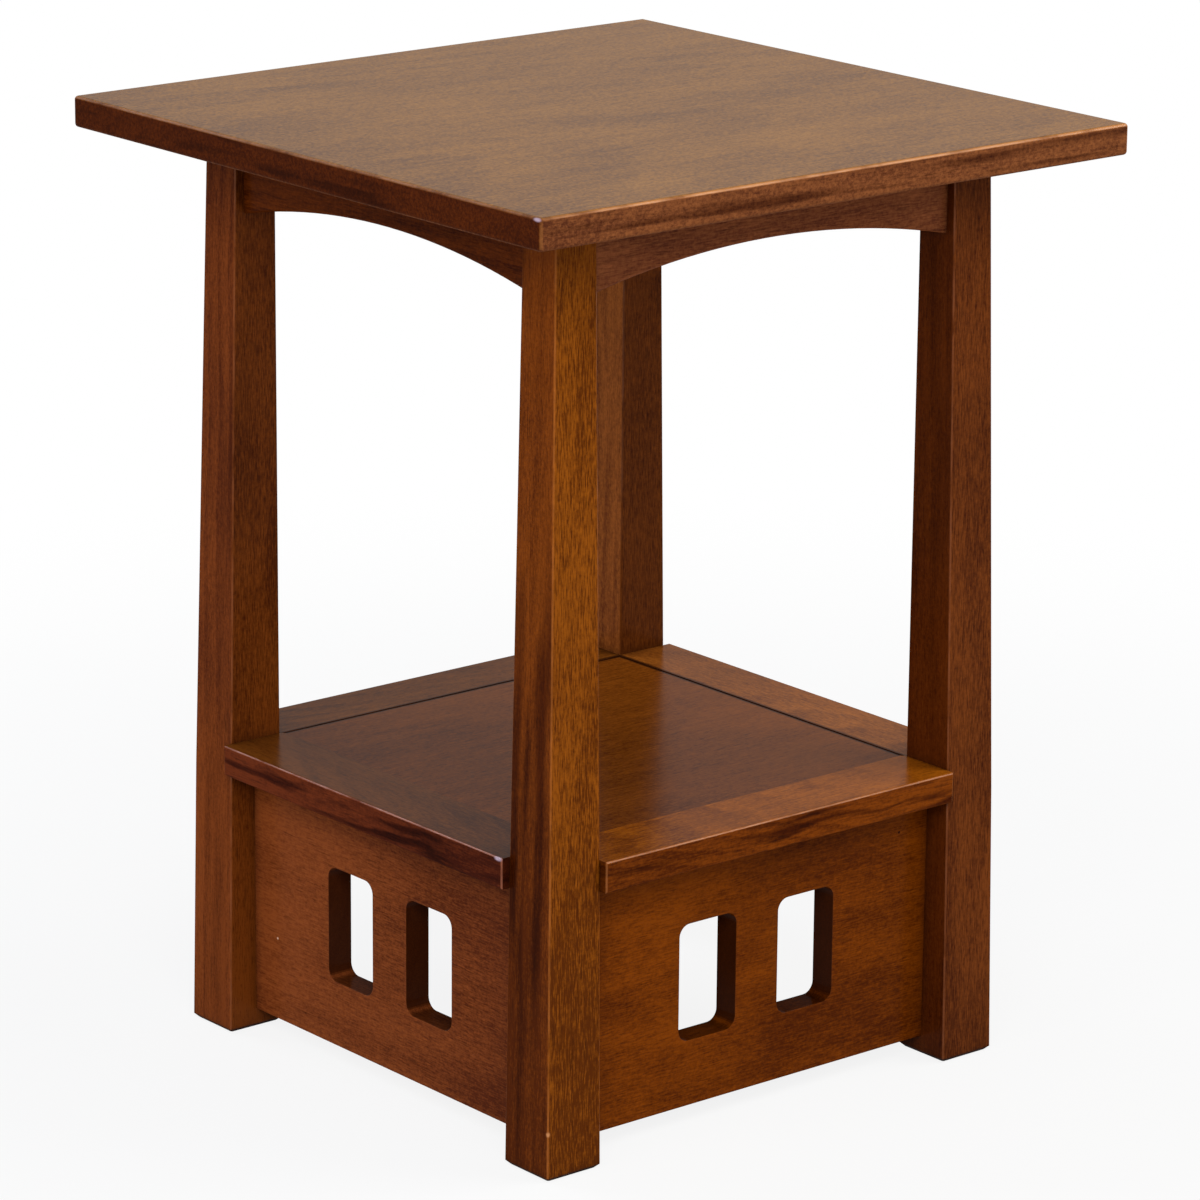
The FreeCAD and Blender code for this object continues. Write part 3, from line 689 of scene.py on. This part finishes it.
# Painted reflection: each border's up tint paints its top a yellower tone, and the front and right
# ones paler, where the lacquer would reflect the room.  The left border's corner mark is a painted
# glint.
BORDERS = {
    "front": dict(middle=stain(101, 46, 6), worn=stain(168, 100, 44), drift=-1.5, left_wear_and_highlight=0.5,
                  up_tint=(1.65, 2.05, 1.45, 1.0)),
    "back": dict(FAR_BORDER, dark_lines=(back_seam,), up_tint=(0.95, 1.25, 0.8, 1.0)),
    "left": dict(middle=stain(84, 34, 14), worn=stain(146, 82, 54), drift=-2.2,
                 up_tint=(0.95, 1.45, 0.7, 1.0), marks=painted_corner_glint("shelf_border_left")),
    "right": dict(FAR_BORDER, dark_lines=(right_seam,), up_tint=(1.75, 2.35, 1.7, 1.0)),
}

for number, (side, look) in enumerate(BORDERS.items()):
    log_place = BORDER_LOG_FIRST + BORDER_LOG_STEP * number
    give_finish("shelf_border_" + side, stained_board(
        "shelf_border_%s_finish" % side, TURNS[side], eased=1.3, sheen=0.15,
        cut=(log_place, 0.0, 0.0), tone=BORDER_TONE - log_place * look.get("drift", 0.0),
        end_grain=0.2, ring_depth=0.3, streaks_above=0.2, streaks_beside=1.0, **look,
        figure={"Pith Across": -0.14, "Pith Below": 0.16, "Lean": 0.2, "Ring Width": 0.009,
                "Wander": 0.008, "Streak Lumps": (9.0, 10.0, 130.0), "Streak Bend": 0.005}))

# --------------------------------------------------------------------------
# Window panels and rails: wide hardwood boards tenoned between the legs, grain from leg
# to leg.  The front and left panels have two tall windows each, sawn out with round
# corners, and the back and right rails are plain.

front_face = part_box("window_panel_front")[0][1]
left_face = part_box("window_panel_left")[0][0]
DARK_SPECK = ((0.1191, front_face, 0.1563), (0.0012,) * 3, stain(24, 10, 4))
PALE_CHIP = ((left_face, 0.1189, 0.068), (0.0011,) * 3, stain(222, 190, 160))
RAIL_LOOK = dict(middle=stain(106, 50, 18), clouds=0.3)
# Painted light: the left panel's drift paints it paler towards the back and darker towards the
# front, as the light falls off along it.
PANELS = {
    "window_panel_front": dict(middle=stain(102, 46, 4), clouds=0.6, marks=(DARK_SPECK,)),
    "window_panel_left": dict(middle=stain(113, 55, 24), drift=-2.1, clouds=0.25,
                              marks=(PALE_CHIP,)),
    "shelf_rail_back": RAIL_LOOK,
    "shelf_rail_right": RAIL_LOOK,
}

# Painted shade: an up tint of 0.4 paints the faces that look up, the window sills among them,
# darker.
for node, look in PANELS.items():
    turn = ALONG_X if node.endswith(("front", "back")) else ALONG_Y
    give_finish(node, stained_board(
        node + "_finish", turn, deep=stain(46, 17, 4), end_grain=0.9,
        up_tint=(0.4, 0.4, 0.4, 1.0), sheen=0.0, ring_depth=0.2, **look,
        figure={"Pith Across": 0.4, "Pith Below": 0.2, "Lean": 0.05, "Ring Width": 0.02,
                "Wander": 0.01}))

# --------------------------------------------------------------------------
# Corner blocks and cleats: bare softwood, out of sight.  The blocks are glued across the
# corners behind the aprons to hold the top, and the cleats along the insides of the
# panels and rails to carry the shelf.

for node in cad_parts:
    if node.startswith(("corner_block_", "shelf_cleat_")):
        turn = ALONG_Y if node.endswith(("left", "right")) else ALONG_X
        give_finish(node, stained_board(
            node + "_finish", turn, stain(190, 154, 106), spread=0.2, deep=stain(132, 94, 56),
            worn=stain(214, 182, 136), sheen=0.0, end_grain=0.3, gloss=0.6, pores=0.1,
            figure={"Pith Across": 0.1, "Pith Below": 0.1, "Lean": 0.02, "Ring Width": 0.004,
                    "Wander": 0.003}))

# --------------------------------------------------------------------------
# Screws: pan-head screws of bright zinc-plated steel.  Four go up through the corner
# blocks into the top, and four through the cleats into the shelf.

ZINC_BLOTCHES = (900.0, 900.0, 900.0)
ZINC_BLOTCH_SHOWS = (-0.9, 0.9)
ZINC_SMOOTHEST = 0.25
ZINC_UNEVEN = 0.25


def plated_steel(name):
    """Zinc plate, a little uneven in its shine."""
    finish = bpy.data.materials.new(name)
    finish.use_nodes = True
    tree = finish.node_tree
    surface = tree.nodes["Principled BSDF"]
    place = add_node(tree, "TexCoord").outputs["Object"]
    blotch = rise(tree, wood_noise(tree, place, ZINC_BLOTCHES), *ZINC_BLOTCH_SHOWS)
    rough = calculate(tree, "MULTIPLY_ADD", blotch, ZINC_UNEVEN, ZINC_SMOOTHEST)
    tree.links.new(rough, surface.inputs["Roughness"])
    surface.inputs["Base Color"].default_value = stain(196, 194, 188)
    surface.inputs["Metallic"].default_value = 1.0
    return finish


zinc_plate = plated_steel("screw_zinc")
for node in ("top_screws", "shelf_screws"):
    give_finish(node, zinc_plate)
